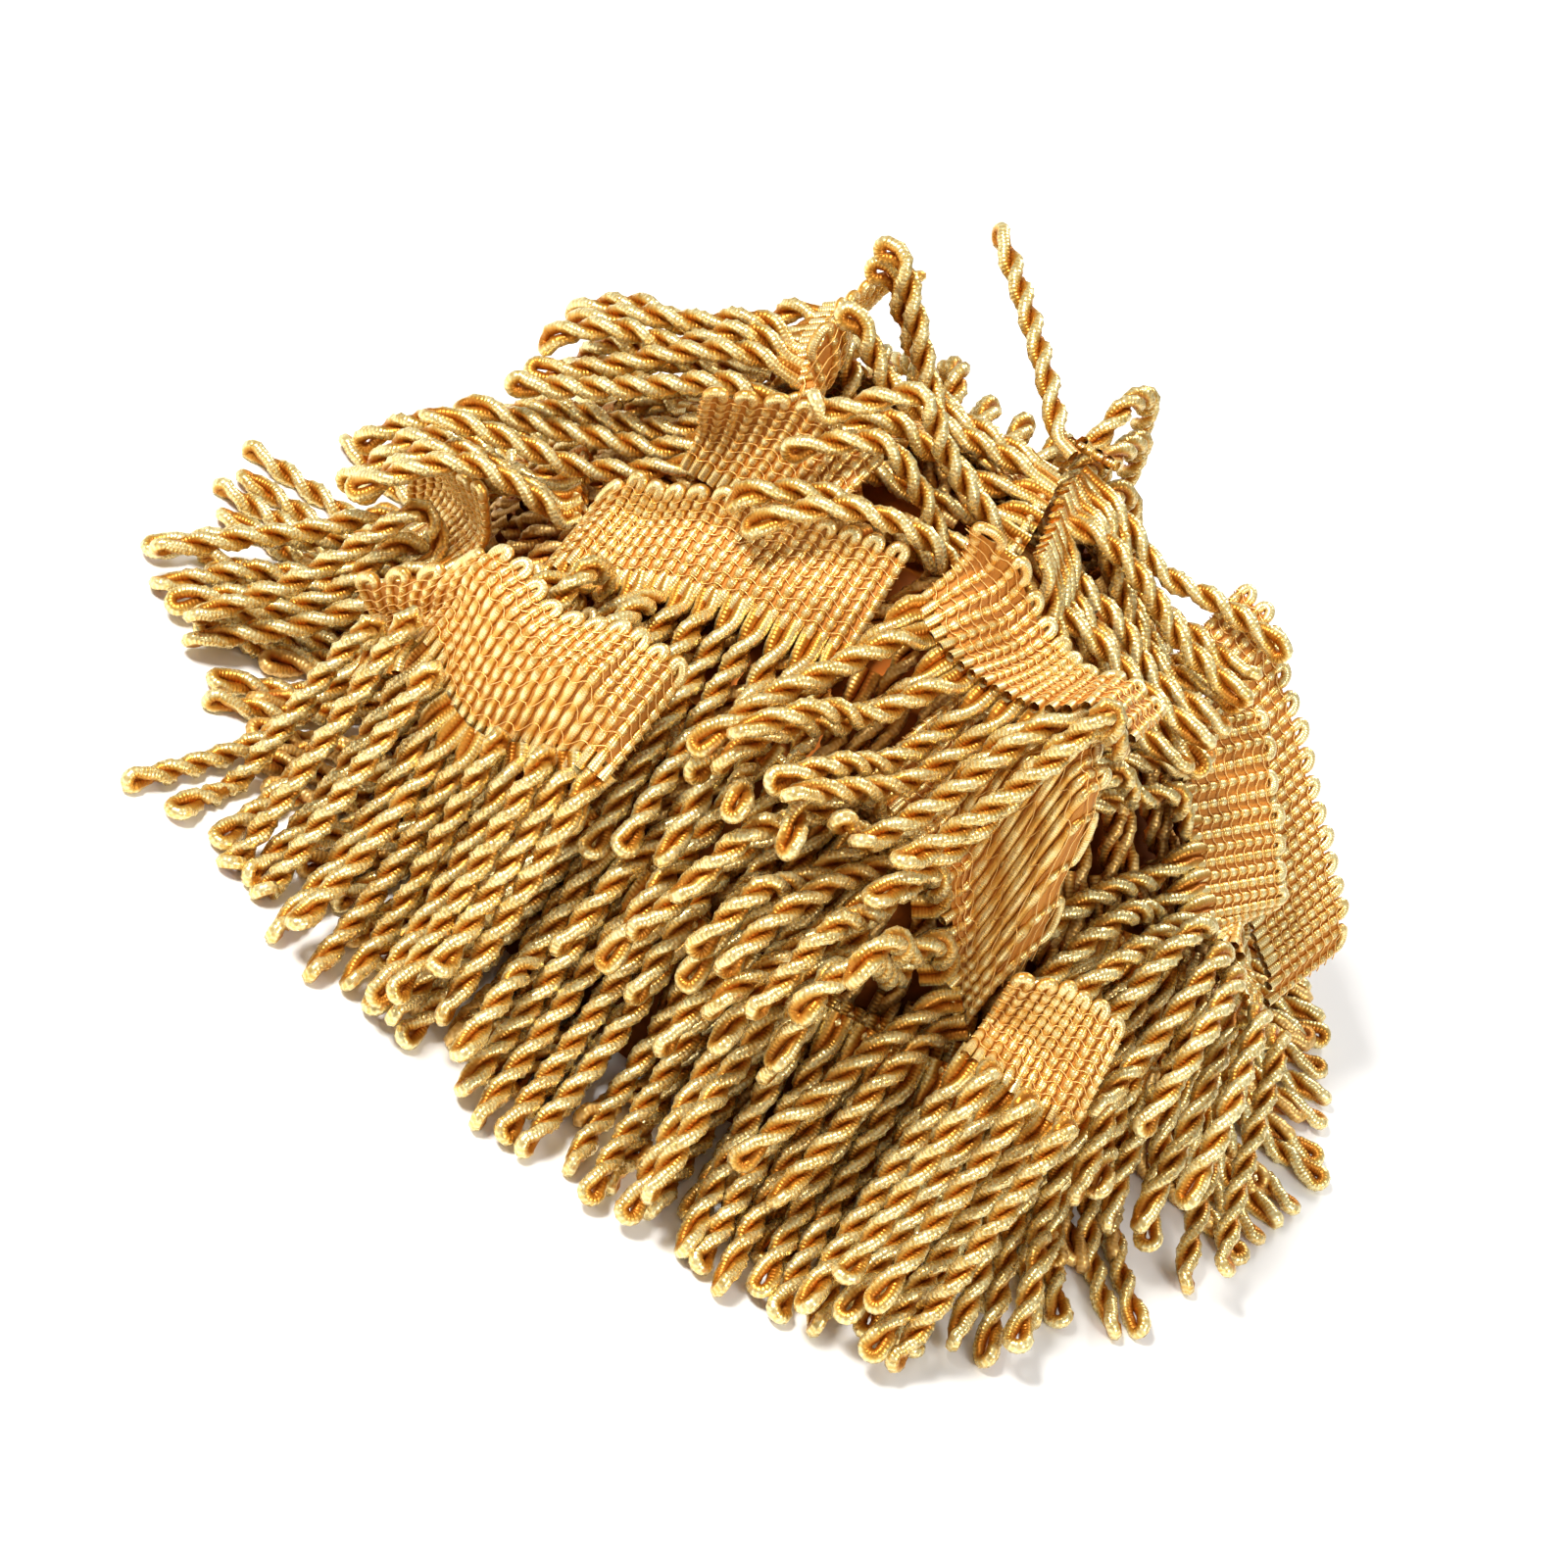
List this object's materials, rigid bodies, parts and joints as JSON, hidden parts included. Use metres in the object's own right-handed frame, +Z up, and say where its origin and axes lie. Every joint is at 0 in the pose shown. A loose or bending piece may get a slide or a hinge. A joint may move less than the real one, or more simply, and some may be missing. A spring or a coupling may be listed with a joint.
{
  "type": "tassel fringe trim",
  "caption": "Satin bullion fringe with a narrow woven heading and a row of twisted hanging cords, lying gathered in a loose heap.",
  "frame": {"origin": "on the floor under the middle of the heap's box", "axes": "+X along the heap's longer side, to the right in the picture; +Y away from the picture's viewer; +Z up"},
  "size_m": [0.3078, 0.2808, 0.1421],
  "materials": {
    "fringe_back_left": "gold satin gimp, two plies twisted together",
    "fringe_back_right": "gold satin gimp, two plies twisted together",
    "fringe_back_top": "gold satin gimp, two plies twisted together",
    "fringe_fold_band": "gold satin gimp, two plies twisted together",
    "fringe_front_low": "gold satin gimp, two plies twisted together",
    "fringe_front_under": "gold satin gimp, two plies twisted together",
    "fringe_great_band": "gold satin gimp, two plies twisted together",
    "fringe_left_band": "gold satin gimp, two plies twisted together",
    "fringe_left_high": "gold satin gimp, two plies twisted together",
    "fringe_left_low": "gold satin gimp, two plies twisted together",
    "fringe_left_lump": "gold satin gimp, two plies twisted together",
    "fringe_low_band": "gold satin gimp, two plies twisted together",
    "fringe_middle_band": "gold satin gimp, two plies twisted together",
    "fringe_parting_left": "gold satin gimp, two plies twisted together",
    "fringe_parting_right": "gold satin gimp, two plies twisted together",
    "fringe_right_band": "gold satin gimp, two plies twisted together",
    "fringe_right_hang": "gold satin gimp, two plies twisted together",
    "fringe_rim_back_left": "gold satin gimp, two plies twisted together",
    "fringe_rim_back_right": "gold satin gimp, two plies twisted together",
    "fringe_rim_front_left": "gold satin gimp, two plies twisted together",
    "fringe_rim_front_right": "gold satin gimp, two plies twisted together",
    "fringe_rim_left": "gold satin gimp, two plies twisted together",
    "fringe_rim_right": "gold satin gimp, two plies twisted together",
    "fringe_stray_cord": "gold satin gimp, two plies twisted together",
    "fringe_stray_tuft": "gold satin gimp, two plies twisted together",
    "fringe_top_left_fold": "gold satin gimp, two plies twisted together",
    "heading_back_left": "gold satin gimp cord woven side by side with fine warp threads",
    "heading_back_right": "gold satin gimp cord woven side by side with fine warp threads",
    "heading_back_top": "gold satin gimp cord woven side by side with fine warp threads",
    "heading_fold_band": "gold satin gimp cord woven side by side with fine warp threads",
    "heading_great_band": "gold satin gimp cord woven side by side with fine warp threads",
    "heading_left_band": "gold satin gimp cord woven side by side with fine warp threads",
    "heading_left_lump": "gold satin gimp cord woven side by side with fine warp threads",
    "heading_low_band": "gold satin gimp cord woven side by side with fine warp threads",
    "heading_middle_band": "gold satin gimp cord woven side by side with fine warp threads",
    "heading_outer_band": "gold satin gimp cord woven side by side with fine warp threads",
    "heading_right_band": "gold satin gimp cord woven side by side with fine warp threads",
    "heading_small_band": "gold satin gimp cord woven side by side with fine warp threads",
    "heading_top_left_fold": "gold satin gimp cord woven side by side with fine warp threads",
    "heading_upper_loop": "gold satin gimp cord woven side by side with fine warp threads",
    "inner_turns": "gold satin yarn, shaded deep inside the heap"
  },
  "bodies": {
    "root": {"fringe_back_left": "fringe_back_left", "fringe_back_right": "fringe_back_right", "fringe_back_top": "fringe_back_top", "fringe_fold_band": "fringe_fold_band", "fringe_front_low": "fringe_front_low", "fringe_front_under": "fringe_front_under", "fringe_great_band": "fringe_great_band", "fringe_left_band": "fringe_left_band", "fringe_left_high": "fringe_left_high", "fringe_left_low": "fringe_left_low", "fringe_left_lump": "fringe_left_lump", "fringe_low_band": "fringe_low_band", "fringe_middle_band": "fringe_middle_band", "fringe_parting_left": "fringe_parting_left", "fringe_parting_right": "fringe_parting_right", "fringe_right_band": "fringe_right_band", "fringe_right_hang": "fringe_right_hang", "fringe_rim_back_left": "fringe_rim_back_left", "fringe_rim_back_right": "fringe_rim_back_right", "fringe_rim_front_left": "fringe_rim_front_left", "fringe_rim_front_right": "fringe_rim_front_right", "fringe_rim_left": "fringe_rim_left", "fringe_rim_right": "fringe_rim_right", "fringe_stray_cord": "fringe_stray_cord", "fringe_stray_tuft": "fringe_stray_tuft", "fringe_top_left_fold": "fringe_top_left_fold", "heading_back_left": "heading_back_left", "heading_back_right": "heading_back_right", "heading_back_top": "heading_back_top", "heading_fold_band": "heading_fold_band", "heading_great_band": "heading_great_band", "heading_left_band": "heading_left_band", "heading_left_lump": "heading_left_lump", "heading_low_band": "heading_low_band", "heading_middle_band": "heading_middle_band", "heading_outer_band": "heading_outer_band", "heading_right_band": "heading_right_band", "heading_small_band": "heading_small_band", "heading_top_left_fold": "heading_top_left_fold", "heading_upper_loop": "heading_upper_loop", "inner_turns": "inner_turns"}
  },
  "joints": []
}
